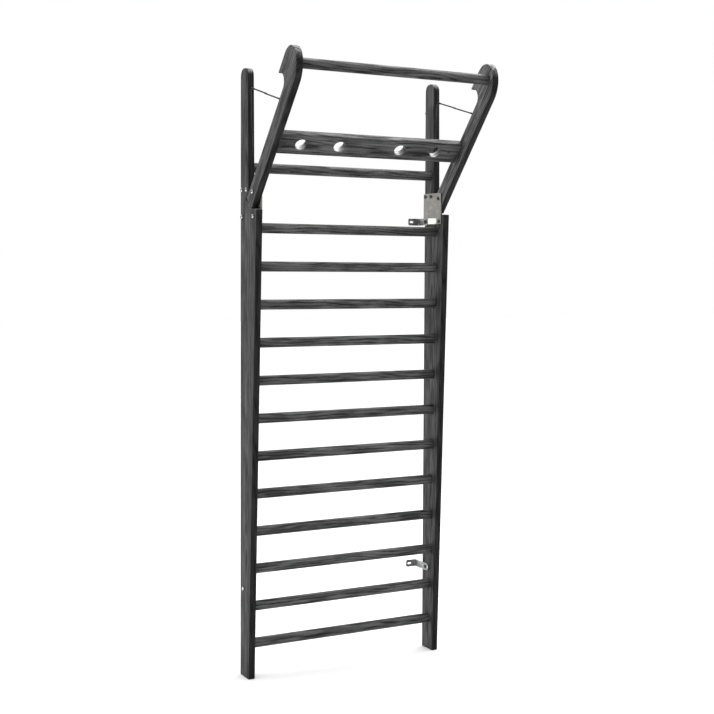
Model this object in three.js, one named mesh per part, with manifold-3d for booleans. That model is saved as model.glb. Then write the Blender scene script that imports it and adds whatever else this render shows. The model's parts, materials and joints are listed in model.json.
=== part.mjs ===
// Wall bars (stall bars) with a folding pull-up frame.
// Units are millimetres. +X is right, +Y points to the wall, +Z is up.
// The origin lies on the wall plane, midway between the uprights, at floor level.

import * as THREE from "three";
import { mergeVertices } from "three/addons/utils/BufferGeometryUtils.js";
import Module from "manifold-3d";

const wasm = await Module();
wasm.setup();

const GAP = 0.3; // clearance between pieces that meet
const RAD = Math.PI / 180;

// Uprights
const INNER_HALF = 400; // half the clear width between the uprights
const BOARD_THICKNESS = 27; // uprights and arms
const WALL_STANDOFF = 60; // upright rear edge to wall
const REAR = -WALL_STANDOFF;
const FOOT_DEPTH = 90;
const DEPTH_PER_HEIGHT = 0.04; // the lower part widens towards its top
const SHOULDER_Z = 1856; // top of the wide lower part
const NECK_DEPTH = 82; // narrow upper part, at the shoulder
const TOP_DEPTH = 74; // narrow upper part, at the top
const TOP_Z = 2407;
const TOP_CORNER = 31;

// Rungs
const RUNG_RADIUS = 20;
const RUNG_PITCH = 150;
const RUNG_COUNT = 12;
const FIRST_RUNG_Z = 134;
const RUNG_INSET = 46; // rung centre to upright rear edge, at the floor
const RUNG_LEAN = 0.0252; // the rung line follows the widening uprights
const UPPER_RUNG_Z = 2020;
const UPPER_RUNG_INSET = 46;
const SOCKET_DEPTH = 15;
const RUNG_SIDES = 28;

// Pull-up frame: two arms that lean forward from one pivot each
const ARM_LEAN = 42.5; // degrees from vertical in use
const PIVOT_INSET = 125;
const PIVOT_Z = 1923;
const ARM_REAR = 30; // pivot line to the arm's rear edge
const ARM_FRONT = -36;
const ARM_END_RADIUS = 63; // rounded end that swings clear of the notch
const NOTCH_SIDE = 33; // the upright's notch, parallel to the leaning arm
const NOTCH_DEPTH = -72.5; // inner corner of the notch, along the arm
const NOTCH_CORNER = 12;
const NOTCH_MOUTH = 113; // the notch floor meets the shoulder, from the upright's rear edge
const HEAD_START = 540; // along the arm from the pivot
const HEAD_TOP = 641;
const HEAD_MID = 45; // across the arm
const LIP_OUT = 103; // the hooked lip reaches behind the arm
const LIP_START = 575;
const LIP_TIP = 487;
const HOOK_ALONG = 470; // centre of the round hook that drops over the upright's top
const HOOK_RADIUS = 36;
const HOOK_START = 58; // degrees; the hook's arc begins beside the lip's tip
const BAR_ALONG = 590;
const BAR_ACROSS = 25.5;
const BAR_RADIUS = 20;

// Board between the arms
const PLANK_LOW = 189;
const PLANK_HIGH = 284;
const PLANK_FRONT = 3;
const GRIP_OFFSETS = [-292, -131.5, 131.5, 292];
const GRIP_ALONG = 236.5;
const GRIP_RADIUS = 23.5;
const GRIP_SIDES = 32;
const PLANK_MIDDLE = (PLANK_FRONT + ARM_REAR) / 2;
const BOARD_BOLT_HOLE = 3.3;
const BOARD_BARREL_RADIUS = 5;
const BOARD_BARREL_DEPTH = 20;
const BOARD_BARREL_X = 352; // cross barrel that the board bolt screws into

// Hinge plates and bolts
const PLATE_THICKNESS = 5;
const PLATE_DEPTH = 147;
const PLATE_LOW = 1816;
const PLATE_HIGH = 1946;
const SHANK_RADIUS = 4;
const BOLT_HOLE = 4.45;
const BOLT_SIDES = 12;
const BOLTS = {
  pivot_bolt: [PIVOT_INSET, PIVOT_Z],
  stop_bolt: [62, 1933],
  rear_top_bolt: [15, 1933],
  front_low_bolt: [132, 1828],
  rear_low_bolt: [15, 1828],
};

// Wall brackets
const STRIP_HEIGHT = 30;
const STRIP_THICKNESS = 4;
const FLANGE_REACH = 48; // from the upright's inner face
const UPPER_BRACKET_Z = 1828;
const LOWER_BRACKET_Z = 352;
const LOWER_BRACKET_BOLT = 33;
const UPPER_LEG_END = 30;
const LOWER_LEG_END = 58;
const SLOT_WIDTH = 8.5;
const SLOT_LENGTH = 17;
const SLOT_REACH = 33;

// Folding wire stays
const STAY_X = INNER_HALF + BOARD_THICKNESS / 2;
const EYE_STANDOFF = 4.8;
const EYE_RADIUS = 4.5;
const EYE_HOLE = 2.15;
const PIN_RADIUS = 1.7;
const REAR_EYE_Z = 2326;
const ARM_EYE_ALONG = 417;
const WIRE_RADIUS = 3.1;
const WIRE_OFFSET = 3.3; // the two halves lie side by side
const WIRE_SIDES = 10;
const REAR_BUTTON_Z = 2289;
const BARREL_ALONG = 426;
const BARREL_ACROSS = -9;
const BARREL_RADIUS = 7.5;

const materials = {
  black_wood: new THREE.MeshStandardMaterial({ color: 0x3f3f40, roughness: 0.55, metalness: 0 }),
  plate_steel: new THREE.MeshStandardMaterial({ color: 0x92928a, roughness: 0.42, metalness: 1 }),
  bolt_steel: new THREE.MeshStandardMaterial({ color: 0xb4b5b6, roughness: 0.3, metalness: 1 }),
  bracket_steel: new THREE.MeshStandardMaterial({ color: 0x85868a, roughness: 0.4, metalness: 1 }),
  wire_steel: new THREE.MeshStandardMaterial({ color: 0xa4a6a8, roughness: 0.35, metalness: 1 }),
  black_steel: new THREE.MeshStandardMaterial({ color: 0x2b2b2c, roughness: 0.5, metalness: 0.6 }),
};

const object = new THREE.Group();

function toSolid(geometry) {
  const bare = geometry.clone();
  bare.deleteAttribute("normal");
  bare.deleteAttribute("uv");
  const merged = mergeVertices(bare, 1e-4);
  return new wasm.Manifold(
    new wasm.Mesh({
      numProp: 3,
      vertProperties: new Float32Array(merged.attributes.position.array),
      triVerts: new Uint32Array(merged.index.array),
    }),
  );
}

function toGeometry(solid) {
  const mesh = solid.getMesh();
  const geometry = new THREE.BufferGeometry();
  geometry.setAttribute("position", new THREE.BufferAttribute(mesh.vertProperties, 3));
  geometry.setIndex(new THREE.BufferAttribute(mesh.triVerts, 1));
  geometry.computeVertexNormals();
  return geometry;
}

function cut(base, tools) {
  return toGeometry(tools.reduce((solid, tool) => solid.subtract(toSolid(tool)), toSolid(base)));
}

function join(pieces) {
  const solids = pieces.map(toSolid);
  return toGeometry(solids.reduce((whole, piece) => whole.add(piece)));
}

function place(name, geometry, material, parent = object) {
  const mesh = new THREE.Mesh(geometry, materials[material]);
  mesh.name = name;
  parent.add(mesh);
  return mesh;
}

// A flat outline in the Y-Z plane, extruded along X between two stations.
function sideExtrude(outline, x0, x1) {
  const shape = new THREE.Shape(outline.map(([y, z]) => new THREE.Vector2(y, z)));
  const depth = Math.abs(x1 - x0);
  const geometry = new THREE.ExtrudeGeometry(shape, { depth, bevelEnabled: false, steps: 1 });
  const turn = new THREE.Matrix4().makeBasis(
    new THREE.Vector3(0, 1, 0),
    new THREE.Vector3(0, 0, 1),
    new THREE.Vector3(1, 0, 0),
  );
  geometry.applyMatrix4(turn);
  geometry.translate(Math.min(x0, x1), 0, 0);
  return geometry;
}

function rodX(radius, y, z, x0, x1, sides) {
  const geometry = new THREE.CylinderGeometry(radius, radius, Math.abs(x1 - x0), sides);
  geometry.rotateZ(Math.PI / 2);
  geometry.translate((x0 + x1) / 2, y, z);
  return geometry;
}

function rodY(radius, x, z, y0, y1, sides) {
  const geometry = new THREE.CylinderGeometry(radius, radius, Math.abs(y1 - y0), sides);
  geometry.translate(x, (y0 + y1) / 2, z);
  return geometry;
}

function box(x0, x1, y0, y1, z0, z1) {
  const geometry = new THREE.BoxGeometry(Math.abs(x1 - x0), Math.abs(y1 - y0), Math.abs(z1 - z0));
  geometry.translate((x0 + x1) / 2, (y0 + y1) / 2, (z0 + z1) / 2);
  return geometry;
}

// A turned piece about the X axis; the profile is [x, radius] pairs and closes on the axis.
function turnedX(profile, sides) {
  const points = profile.map(([x, radius]) => new THREE.Vector2(radius, x));
  const geometry = new THREE.LatheGeometry(points, sides);
  geometry.rotateZ(-Math.PI / 2);
  return geometry;
}

function ellipseArc(cy, cz, ry, rz, startDeg, endDeg, steps) {
  const points = [];
  for (let i = 0; i <= steps; i += 1) {
    const angle = (startDeg + ((endDeg - startDeg) * i) / steps) * RAD;
    points.push([cy + ry * Math.cos(angle), cz + rz * Math.sin(angle)]);
  }
  return points;
}

// The arc that rounds the corner at `corner` between the lines to `before` and `after`.
function roundedCorner(before, corner, after, radius, steps) {
  const at = new THREE.Vector2(...corner);
  const toBefore = new THREE.Vector2(...before).sub(at).normalize();
  const toAfter = new THREE.Vector2(...after).sub(at).normalize();
  const half = Math.acos(toBefore.dot(toAfter)) / 2;
  const reach = radius / Math.tan(half);
  const start = at.clone().addScaledVector(toBefore, reach);
  const stop = at.clone().addScaledVector(toAfter, reach);
  const curve = new THREE.QuadraticBezierCurve(start, at, stop);
  return curve.getPoints(steps).map((point) => [point.x, point.y]);
}

// A point given along and across the leaning arm, measured from its pivot.
function armPoint([along, across]) {
  const sin = Math.sin(ARM_LEAN * RAD);
  const cos = Math.cos(ARM_LEAN * RAD);
  return [
    REAR - PIVOT_INSET - along * sin + across * cos,
    PIVOT_Z + along * cos + across * sin,
  ];
}

const shoulderDepth = FOOT_DEPTH + DEPTH_PER_HEIGHT * SHOULDER_Z;

function neckDepth(z) {
  const t = (z - PIVOT_Z) / (TOP_Z - PIVOT_Z);
  return NECK_DEPTH + (TOP_DEPTH - NECK_DEPTH) * t;
}

function rungInset(z) {
  return RUNG_INSET + RUNG_LEAN * z;
}

// ---- Uprights -------------------------------------------------------------------------

function uprightOutline() {
  const notchAcross = NECK_DEPTH - PIVOT_INSET + NOTCH_SIDE * Math.cos(ARM_LEAN * RAD);
  const notchTop = notchAcross / Math.sin(ARM_LEAN * RAD);
  const topFront = REAR - TOP_DEPTH;
  const mouth = [REAR - NOTCH_MOUTH, SHOULDER_Z];
  return [
    [REAR, 0],
    ...ellipseArc(REAR - TOP_CORNER, TOP_Z - TOP_CORNER, TOP_CORNER, TOP_CORNER, 0, 90, 7),
    ...ellipseArc(topFront + TOP_CORNER, TOP_Z - TOP_CORNER, TOP_CORNER, TOP_CORNER, 90, 180, 7),
    armPoint([notchTop, NOTCH_SIDE]),
    ...roundedCorner(
      armPoint([0, NOTCH_SIDE]),
      armPoint([NOTCH_DEPTH, NOTCH_SIDE]),
      mouth,
      NOTCH_CORNER,
      5,
    ),
    mouth,
    [REAR - shoulderDepth, SHOULDER_Z],
    [REAR - FOOT_DEPTH, 0],
  ];
}

// A pocket in the inner face lets the upper bracket's leg lie under the hinge plate.
function bracketRecess(side, mouth) {
  const half = STRIP_HEIGHT / 2 + GAP;
  const floor = side * (INNER_HALF + STRIP_THICKNESS + GAP);
  const roundY = REAR - UPPER_LEG_END + STRIP_HEIGHT / 2;
  return join([
    box(mouth, floor, roundY, REAR + 5, UPPER_BRACKET_Z - half, UPPER_BRACKET_Z + half),
    rodX(half, roundY, UPPER_BRACKET_Z, mouth, floor, RUNG_SIDES),
  ]);
}

function upright(side) {
  const inner = side * INNER_HALF;
  const outer = side * (INNER_HALF + BOARD_THICKNESS);
  const socketEnd = side * (INNER_HALF + SOCKET_DEPTH + GAP);
  const mouth = side * (INNER_HALF - 5);
  const tools = [];
  for (let i = 0; i < RUNG_COUNT; i += 1) {
    const z = FIRST_RUNG_Z + i * RUNG_PITCH;
    const y = REAR - rungInset(z);
    tools.push(rodX(RUNG_RADIUS + GAP, y, z, mouth, socketEnd, RUNG_SIDES));
  }
  const upperY = REAR - UPPER_RUNG_INSET;
  tools.push(rodX(RUNG_RADIUS + GAP, upperY, UPPER_RUNG_Z, mouth, socketEnd, RUNG_SIDES));
  for (const [name, [inset, z]] of Object.entries(BOLTS)) {
    if (name !== "pivot_bolt") {
      tools.push(rodX(BOLT_HOLE, REAR - inset, z, mouth, outer + side * 5, BOLT_SIDES));
    }
  }
  const lowY = REAR - LOWER_BRACKET_BOLT;
  tools.push(rodX(BOLT_HOLE, lowY, LOWER_BRACKET_Z, mouth, outer + side * 5, BOLT_SIDES));
  tools.push(bracketRecess(side, mouth));
  const faceY = REAR - neckDepth(REAR_EYE_Z);
  tools.push(rodY(3, side * STAY_X, REAR_EYE_Z, faceY - 5, faceY + 19, WIRE_SIDES));
  tools.push(rodY(4, side * STAY_X, REAR_BUTTON_Z, REAR - 16, REAR + 5, WIRE_SIDES));
  return cut(sideExtrude(uprightOutline(), inner, outer), tools);
}

// ---- Pull-up frame --------------------------------------------------------------------

function armOutline() {
  const frontLow = -Math.sqrt(ARM_END_RADIUS ** 2 - ARM_FRONT ** 2);
  const rearLow = -Math.sqrt(ARM_END_RADIUS ** 2 - ARM_REAR ** 2);
  const endStart = Math.atan2(ARM_REAR, rearLow) / RAD;
  const endStop = Math.atan2(ARM_FRONT, frontLow) / RAD + 360;
  const hookAcross = ARM_REAR + HOOK_RADIUS;
  const headHalf = HEAD_MID - ARM_FRONT;
  const local = [
    ...ellipseArc(0, 0, ARM_END_RADIUS, ARM_END_RADIUS, endStart, endStop, 7),
    ...ellipseArc(HEAD_START, HEAD_MID, HEAD_TOP - HEAD_START, headHalf, -90, 0, 10),
    ...ellipseArc(LIP_START, HEAD_MID, HEAD_TOP - LIP_START, LIP_OUT - HEAD_MID, 0, 90, 8).slice(1),
    [LIP_TIP, LIP_OUT],
    ...ellipseArc(HOOK_ALONG, hookAcross, HOOK_RADIUS, HOOK_RADIUS, HOOK_START, -90, 14),
  ];
  return local.map(armPoint);
}

function arm(side) {
  const inner = side * INNER_HALF;
  const outer = side * (INNER_HALF + BOARD_THICKNESS);
  const mouth = side * (INNER_HALF - 5);
  const socketEnd = side * (INNER_HALF + SOCKET_DEPTH + GAP);
  const [barY, barZ] = armPoint([BAR_ALONG, BAR_ACROSS]);
  const [barrelY, barrelZ] = armPoint([BARREL_ALONG, BARREL_ACROSS]);
  const [boardY, boardZ] = armPoint([GRIP_ALONG, PLANK_MIDDLE]);
  const eyeHole = rodY(3, 0, 0, -5, 19, WIRE_SIDES);
  eyeHole.rotateX((180 + ARM_LEAN) * RAD);
  eyeHole.translate(side * STAY_X, ...armPoint([ARM_EYE_ALONG, ARM_REAR]));
  const tools = [
    rodX(BAR_RADIUS + GAP, barY, barZ, mouth, socketEnd, RUNG_SIDES),
    rodX(BOLT_HOLE, REAR - PIVOT_INSET, PIVOT_Z, mouth, outer + side * 5, BOLT_SIDES),
    rodX(BARREL_RADIUS + GAP, barrelY, barrelZ, mouth, inner + side * 6, 2 * BOLT_SIDES),
    rodX(BOARD_BOLT_HOLE, boardY, boardZ, mouth, outer + side * 5, BOLT_SIDES),
    eyeHole,
  ];
  return cut(sideExtrude(armOutline(), inner, outer), tools);
}

// Turns a shape drawn in (along, x) on the arm's front line to its place between the arms.
function boardMatrix() {
  const sin = Math.sin(ARM_LEAN * RAD);
  const cos = Math.cos(ARM_LEAN * RAD);
  const matrix = new THREE.Matrix4().makeBasis(
    new THREE.Vector3(-1, 0, 0),
    new THREE.Vector3(0, -sin, cos),
    new THREE.Vector3(0, cos, sin),
  );
  return matrix.setPosition(0, ...armPoint([0, PLANK_FRONT]));
}

function board() {
  const half = INNER_HALF - GAP;
  const shape = new THREE.Shape([
    new THREE.Vector2(-half, PLANK_LOW),
    new THREE.Vector2(half, PLANK_LOW),
    new THREE.Vector2(half, PLANK_HIGH),
    new THREE.Vector2(-half, PLANK_HIGH),
  ]);
  for (const offset of GRIP_OFFSETS) {
    const circle = ellipseArc(offset, GRIP_ALONG, GRIP_RADIUS, GRIP_RADIUS, 0, 360, GRIP_SIDES);
    shape.holes.push(new THREE.Path(circle.slice(0, -1).map(([x, y]) => new THREE.Vector2(x, y))));
  }
  const depth = ARM_REAR - PLANK_FRONT;
  const blank = new THREE.ExtrudeGeometry(shape, { depth, bevelEnabled: false, steps: 1 });
  blank.applyMatrix4(boardMatrix());
  const [boltY, boltZ] = armPoint([GRIP_ALONG, PLANK_MIDDLE]);
  const tools = [];
  for (const side of [-1, 1]) {
    const boltEnd = side * (BOARD_BARREL_X - 12);
    tools.push(rodX(BOARD_BOLT_HOLE, boltY, boltZ, side * (half + 5), boltEnd, BOLT_SIDES));
    const pocket = rodY(BOARD_BARREL_RADIUS + GAP, 0, 0, 5, -BOARD_BARREL_DEPTH - GAP, BOLT_SIDES);
    tools.push(boardBarrelPlace(pocket, side));
  }
  return cut(blank, tools);
}

// Moves a piece made along -Y from the origin so that it enters the board's front face.
function boardBarrelPlace(geometry, side) {
  geometry.rotateX((180 + ARM_LEAN) * RAD);
  geometry.translate(side * BOARD_BARREL_X, ...armPoint([GRIP_ALONG, PLANK_FRONT]));
  return geometry;
}

// ---- Steel parts ----------------------------------------------------------------------

function hingePlate(side) {
  const x0 = side * (INNER_HALF - GAP);
  const x1 = side * (INNER_HALF - GAP - PLATE_THICKNESS);
  const r = 4;
  const front = REAR - PLATE_DEPTH;
  const outline = [
    ...ellipseArc(REAR - r, PLATE_LOW + r, r, r, -90, 0, 3),
    ...ellipseArc(REAR - r, PLATE_HIGH - r, r, r, 0, 90, 3),
    ...ellipseArc(front + r, PLATE_HIGH - r, r, r, 90, 180, 3),
    ...ellipseArc(front + r, PLATE_LOW + r, r, r, 180, 270, 3),
  ];
  const tools = Object.values(BOLTS).map(([inset, z]) =>
    rodX(BOLT_HOLE, REAR - inset, z, x0 + side * 5, x1 - side * 5, BOLT_SIDES));
  return cut(sideExtrude(outline, x0, x1), tools);
}

// A domed bolt that ends in a round sleeve nut; `grip` is the stack it clamps.
function boltGeometry(side, inset, z, grip) {
  const outer = INNER_HALF + BOARD_THICKNESS + GAP;
  const nut = outer - GAP - grip - GAP;
  const profile = [
    [nut - 3.6, 0],
    [nut - 3.6, 5.5],
    [nut - 2.6, 7],
    [nut, 7.4],
    [nut, SHANK_RADIUS],
    [outer, SHANK_RADIUS],
    [outer, 9],
    [outer + 2.2, 8.4],
    [outer + 4.4, 5.4],
    [outer + 5.2, 0],
  ];
  const geometry = turnedX(profile, BOLT_SIDES);
  if (side < 0) {
    geometry.rotateZ(Math.PI);
  }
  geometry.translate(0, REAR - inset, z);
  return geometry;
}

// The bolt that runs through the arm into the end of the grip board.
function boardBolt(side) {
  const face = INNER_HALF + BOARD_THICKNESS + GAP;
  const tip = BOARD_BARREL_X - 10;
  const profile = [
    [tip, 0],
    [tip, 3],
    [face, 3],
    [face, 6],
    [face + 1.8, 5],
    [face + 2.6, 0],
  ];
  const geometry = turnedX(profile, BOLT_SIDES);
  if (side < 0) {
    geometry.rotateZ(Math.PI);
  }
  geometry.translate(0, ...armPoint([GRIP_ALONG, PLANK_MIDDLE]));
  return geometry;
}

function wallBracket(side, z, boltInset, legX, legEnd) {
  const half = STRIP_HEIGHT / 2;
  const legOuter = side * legX;
  const legInner = side * (legX - STRIP_THICKNESS);
  const round = half;
  const legOutline = [
    [0, z - half],
    [0, z + half],
    ...ellipseArc(REAR - legEnd + round, z, round, round, 90, 270, 8),
  ];
  const flangeEnd = side * (INNER_HALF - FLANGE_REACH);
  const flange = box(legOuter, flangeEnd, -STRIP_THICKNESS, 0, z - half, z + half);
  const strip = join([sideExtrude(legOutline, legOuter, legInner), flange]);
  const slotX = side * (INNER_HALF - SLOT_REACH);
  const reach = (SLOT_LENGTH - SLOT_WIDTH) / 2;
  const slotHalf = SLOT_WIDTH / 2;
  const tools = [
    rodX(BOLT_HOLE, REAR - boltInset, z, legOuter + side * 5, legInner - side * 5, BOLT_SIDES),
    rodY(slotHalf, slotX - reach, z, -10, 5, BOLT_SIDES),
    rodY(slotHalf, slotX + reach, z, -10, 5, BOLT_SIDES),
    box(slotX - reach, slotX + reach, -10, 5, z - slotHalf, z + slotHalf),
  ];
  return cut(strip, tools);
}

// ---- Folding wire stays ---------------------------------------------------------------

// An eye screw whose eye stands out along -Y from a face at y = 0.
function eyeScrew() {
  const centre = -EYE_STANDOFF;
  const body = join([
    rodX(EYE_RADIUS, centre, 0, -1.5, 1.5, 16),
    box(-1.5, 1.5, centre, 0.6, -2.4, 2.4),
    rodY(2.4, 0, 0, 0.3, 17, WIRE_SIDES),
  ]);
  return cut(body, [rodX(EYE_HOLE, centre, 0, -3, 3, 12)]);
}

// One half of a stay: a fork with its pin at the origin and a wire that runs along -Y.
function stayHalf(length, offset) {
  const cheekIn = 1.9;
  const cheekOut = 3.5;
  const bridgeLow = Math.min(-cheekOut, offset - WIRE_RADIUS - 0.3);
  const bridgeHigh = Math.max(cheekOut, offset + WIRE_RADIUS + 0.3);
  const pieces = [
    rodX(PIN_RADIUS, 0, 0, -cheekOut, cheekOut, 12),
    box(bridgeLow, bridgeHigh, -9, -5.3, -3, 3),
    rodY(WIRE_RADIUS, offset, 0, -8, -(length + 2), WIRE_SIDES),
  ];
  for (const side of [-1, 1]) {
    pieces.push(rodX(3, 0, 0, side * cheekIn, side * cheekOut, 12));
    pieces.push(box(side * cheekIn, side * cheekOut, -6, 0, -2.4, 2.4));
  }
  return join(pieces);
}

function eyePoints() {
  const rear = [REAR - neckDepth(REAR_EYE_Z) - EYE_STANDOFF, REAR_EYE_Z];
  const front = armPoint([ARM_EYE_ALONG, ARM_REAR + EYE_STANDOFF]);
  return { rear, front };
}

function stay(label, side) {
  const { rear, front } = eyePoints();
  const dy = rear[0] - front[0];
  const dz = rear[1] - front[1];
  const span = Math.hypot(dy, dz);
  const slope = Math.atan2(dz, dy);
  const foldedDrop = PIVOT_Z + ARM_EYE_ALONG - REAR_EYE_Z;
  const rearLength = (span - foldedDrop) / 2;
  const frontLength = (span + foldedDrop) / 2;
  const x = side * STAY_X;

  const rearHalf = place(`${label}_stay_rear`, stayHalf(rearLength, WIRE_OFFSET), "wire_steel");
  rearHalf.rotation.x = slope;
  rearHalf.position.set(x, ...rear);

  const frontHalf = place(`${label}_stay_front`, stayHalf(frontLength, -WIRE_OFFSET), "wire_steel");
  frontHalf.rotation.x = slope + Math.PI;
  frontHalf.position.set(x, ...front);

  const rearEye = place(`${label}_upright_eye`, eyeScrew(), "wire_steel");
  rearEye.position.set(x, rear[0] + EYE_STANDOFF, rear[1]);

  const frontEye = place(`${label}_arm_eye`, eyeScrew(), "wire_steel");
  frontEye.rotation.x = (180 + ARM_LEAN) * RAD;
  frontEye.position.set(x, ...armPoint([ARM_EYE_ALONG, ARM_REAR]));
}

// ---- Assembly -------------------------------------------------------------------------

for (let i = 0; i < RUNG_COUNT; i += 1) {
  const z = FIRST_RUNG_Z + i * RUNG_PITCH;
  const end = INNER_HALF + SOCKET_DEPTH;
  const name = `rung_${String(i + 1).padStart(2, "0")}`;
  place(name, rodX(RUNG_RADIUS, REAR - rungInset(z), z, -end, end, RUNG_SIDES), "black_wood");
}

const socketTip = INNER_HALF + SOCKET_DEPTH;
place(
  "upper_rung",
  rodX(RUNG_RADIUS, REAR - UPPER_RUNG_INSET, UPPER_RUNG_Z, -socketTip, socketTip, RUNG_SIDES),
  "black_wood",
);
place(
  "pull_up_bar",
  rodX(BAR_RADIUS, ...armPoint([BAR_ALONG, BAR_ACROSS]), -socketTip, socketTip, RUNG_SIDES),
  "black_wood",
);
place("grip_board", board(), "black_wood");

for (const [label, side] of [["left", -1], ["right", 1]]) {
  place(`${label}_upright`, upright(side), "black_wood");
  place(`${label}_arm`, arm(side), "black_wood");
  place(`${label}_hinge_plate`, hingePlate(side), "plate_steel");

  const plateGrip = BOARD_THICKNESS + GAP + PLATE_THICKNESS;
  for (const [name, [inset, z]] of Object.entries(BOLTS)) {
    place(`${label}_${name}`, boltGeometry(side, inset, z, plateGrip), "bolt_steel");
  }

  place(
    `${label}_upper_bracket`,
    wallBracket(
      side,
      UPPER_BRACKET_Z,
      BOLTS.rear_low_bolt[0],
      INNER_HALF + STRIP_THICKNESS,
      UPPER_LEG_END,
    ),
    "bracket_steel",
  );
  place(
    `${label}_lower_bracket`,
    wallBracket(side, LOWER_BRACKET_Z, LOWER_BRACKET_BOLT, INNER_HALF - GAP, LOWER_LEG_END),
    "bracket_steel",
  );
  const lowGrip = BOARD_THICKNESS + GAP + STRIP_THICKNESS;
  const lowBolt = boltGeometry(side, LOWER_BRACKET_BOLT, LOWER_BRACKET_Z, lowGrip);
  place(`${label}_lower_bracket_bolt`, lowBolt, "bolt_steel");

  // Round button on the rear edge of the upright
  const stem = [[-12, 0], [-12, 3.4], [GAP, 3.4]];
  const cap = [[GAP, 8], [12.5, 8], [14, 6.5], [14, 0]];
  const button = turnedX([...stem, ...cap], BOLT_SIDES);
  button.rotateZ(Math.PI / 2);
  button.translate(side * STAY_X, REAR, REAR_BUTTON_Z);
  place(`${label}_rear_button`, button, "black_steel");

  // Barrel that holds the arm's eye screw, seen as a dark disc on the inner face
  const [barrelY, barrelZ] = armPoint([BARREL_ALONG, BARREL_ACROSS]);
  const barrelIn = side * (INNER_HALF - 0.8);
  const barrelOut = side * (INNER_HALF + 5.5);
  const barrel = rodX(BARREL_RADIUS, barrelY, barrelZ, barrelIn, barrelOut, 2 * BOLT_SIDES);
  place(`${label}_arm_barrel`, barrel, "black_steel");

  place(`${label}_board_bolt`, boardBolt(side), "bolt_steel");
  const crossBarrel = rodY(BOARD_BARREL_RADIUS, 0, 0, 0.6, -BOARD_BARREL_DEPTH, BOLT_SIDES);
  const boltBore = rodX(BOARD_BOLT_HOLE, -(PLANK_MIDDLE - PLANK_FRONT), 0, -20, 20, BOLT_SIDES);
  const barrelNut = boardBarrelPlace(cut(crossBarrel, [boltBore]), side);
  place(`${label}_board_barrel`, barrelNut, "black_steel");

  stay(label, side);
}

export default object;
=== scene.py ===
"""Looks for wall bars with a folding pull-up frame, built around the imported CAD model.

Metres, +X right, +Y into the wall, +Z up. Positions come from the CAD nodes and the joints.
"""

import json
import math

import bmesh
import bpy
from mathutils import Matrix, Vector

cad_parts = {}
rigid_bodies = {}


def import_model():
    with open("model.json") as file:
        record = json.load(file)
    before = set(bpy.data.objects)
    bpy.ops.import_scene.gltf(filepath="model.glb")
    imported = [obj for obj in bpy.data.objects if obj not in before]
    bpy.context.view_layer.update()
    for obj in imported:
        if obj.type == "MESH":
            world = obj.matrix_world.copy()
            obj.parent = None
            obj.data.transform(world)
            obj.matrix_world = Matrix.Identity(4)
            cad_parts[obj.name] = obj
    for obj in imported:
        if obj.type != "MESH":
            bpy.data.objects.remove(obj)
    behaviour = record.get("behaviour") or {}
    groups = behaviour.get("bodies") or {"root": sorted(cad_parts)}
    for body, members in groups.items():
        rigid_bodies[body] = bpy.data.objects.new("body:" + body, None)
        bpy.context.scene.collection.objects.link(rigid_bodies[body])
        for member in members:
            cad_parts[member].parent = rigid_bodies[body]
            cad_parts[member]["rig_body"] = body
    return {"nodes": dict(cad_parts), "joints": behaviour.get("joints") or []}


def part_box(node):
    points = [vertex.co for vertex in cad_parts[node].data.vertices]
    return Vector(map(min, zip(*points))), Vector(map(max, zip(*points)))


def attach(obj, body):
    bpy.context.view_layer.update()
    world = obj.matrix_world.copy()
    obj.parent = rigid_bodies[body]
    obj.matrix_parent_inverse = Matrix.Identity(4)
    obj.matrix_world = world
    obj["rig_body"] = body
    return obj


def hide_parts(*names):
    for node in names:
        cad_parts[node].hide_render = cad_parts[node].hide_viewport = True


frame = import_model()
nodes = frame["nodes"]
joints = {joint["name"]: joint for joint in frame["joints"]}
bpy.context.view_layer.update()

MM = 0.001
SIDES = ("left", "right")
ARM_LEAN = math.radians(42.5)  # from vertical, in use
ALONG_ARM = Vector((0, -math.sin(ARM_LEAN), math.cos(ARM_LEAN)))
ACROSS_ARM = Vector((0, math.cos(ARM_LEAN), math.sin(ARM_LEAN)))
X_AXIS = Vector((1, 0, 0))
Y_AXIS = Vector((0, 1, 0))
Z_AXIS = Vector((0, 0, 1))

BOARD_ROUND = 3.0 * MM  # rounding along the edges of boards
HOLE_ROUND = 0.6 * MM
SOCKET_EXTENT = 43 * MM  # mouths smaller than this are sockets and bolt holes
ROUND_STEPS = 3
SHARP_ANGLE = 35  # degrees; edges that turn further than this are rounded and shaded sharp
ROD_SIDES = 64
BOLT_SIDES = 48

HEX_ACROSS = 6 * MM
HEAD_RADIUS = 9 * MM
HEAD_HEIGHT = 5.1 * MM
NUT_RADIUS = 7.4 * MM
NUT_HEIGHT = 3.6 * MM
SHANK_RADIUS = 4 * MM

STRAP_THICKNESS = 4 * MM
OUTER_BEND = 5.5 * MM
INNER_BEND = 2 * MM
FLANGE_ROUND = 7 * MM
NEAR = 0.2 * MM  # how close a point has to be to count as being at a place

# Radii of the stays' end fittings and of the eye screws.
PIN = 1.7 * MM
CHEEK = 3 * MM
LEG = 0.75 * MM
BAR = 1.9 * MM
FERRULE = 3.7 * MM
EYE_RING = 3.3 * MM
EYE_WIRE = 1.15 * MM
EYE_SHANK = 2.3 * MM
EYE_COLLAR = 3.4 * MM

FORK_LENGTH = 7 * MM  # from the pin to the crossbar
RIM = 0.2 * MM  # easing at the ends of small turned pieces
STRANDS = 6
LAY_LENGTH = 22 * MM  # the strands turn once round in this length
LAY_STEP = 1.2 * MM

WORLD_FRONT = 0.4
WORLD_BACK = 0.7
WORLD_TOP = 1.9

CAMERA_PLACE = (-2.4203, -5.21851, 1.65846)
CAMERA_YAW = 0.55565
CAMERA_PITCH = 0.04797
CAMERA_ROLL = -0.00972
CAMERA_LENS = 69.229
CAMERA_SHIFT = (-0.2, -0.04)

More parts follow.
